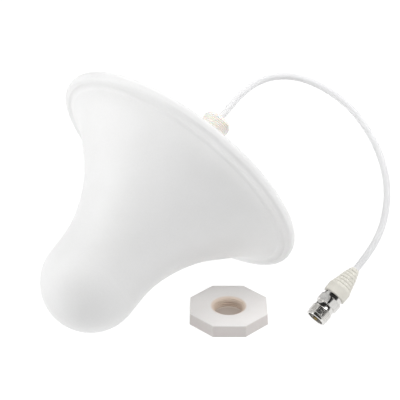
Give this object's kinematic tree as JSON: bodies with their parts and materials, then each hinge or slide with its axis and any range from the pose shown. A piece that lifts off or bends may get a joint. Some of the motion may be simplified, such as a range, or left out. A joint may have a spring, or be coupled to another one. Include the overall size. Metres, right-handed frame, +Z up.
{
  "type": "indoor ceiling dome antenna",
  "caption": "Bell-shaped indoor ceiling antenna for a signal booster, leaning on rim and nose, with threaded stud, coaxial pigtail, jack connector and loose mounting nut.",
  "frame": {"origin": "on the table, under the middle of the box round antenna and nut, measured without the cable and what is on it", "axes": "+Z up from the table; +X the way the mounting stud points over the table, upwards by 30 degrees; +Y completes the right-handed frame"},
  "size_m": [0.253, 0.2311, 0.1753],
  "materials": {
    "radome_plastic": "fine matte white moulding",
    "plate_plastic": "matte white moulding",
    "stud_plastic": "cream moulding, slightly translucent",
    "nut_plastic": "satin off-white moulding",
    "cable_jacket": "smooth white vinyl",
    "boot_plastic": "soft cream elastomer",
    "bush_rubber": "soft off-white rubber",
    "gasket_rubber": "black foam rubber",
    "nickel": "bright nickel plate",
    "sheet_aluminium": "rolled sheet, satin",
    "brass": "turned brass",
    "gold_contact": "gold-flashed contact",
    "steel": "zinc-plated screw steel",
    "copper_braid": "tinned copper braid",
    "fluoropolymer": "waxy white insulator",
    "nylon": "natural nylon"
  },
  "bodies": {
    "antenna": {"radome": "radome_plastic", "base_plate": "plate_plastic", "stud_gasket": "gasket_rubber", "threaded_stud": "stud_plastic", "ground_plane": "sheet_aluminium", "cover_screws": "steel", "stack_screws": "steel", "feed_insulator": "fluoropolymer", "feed_pin": "brass", "radiator_cone": "sheet_aluminium", "radiator_drum": "sheet_aluminium", "radiator_cap": "sheet_aluminium", "coupling_ring": "sheet_aluminium", "shorting_posts": "brass", "post_nuts": "brass", "drum_spacer": "nylon", "cable_bush": "bush_rubber", "coax_jacket": "cable_jacket", "coax_braid": "copper_braid", "coax_dielectric": "fluoropolymer", "coax_core": "copper_braid", "ground_ferrule": "brass", "connector_body": "nickel", "connector_insulator": "fluoropolymer", "centre_contact": "gold_contact", "crimp_ferrule": "nickel", "cable_end": "cable_jacket", "connector_boot": "boot_plastic", "pigtail_cable": "cable_jacket"},
    "nut": {"mounting_nut": "nut_plastic"}
  },
  "joints": [
    {"name": "nut_lift", "type": "slide", "parent": "antenna", "child": "nut", "axis": [0, 0, 1], "range_m": [0, 0.018]}
  ]
}
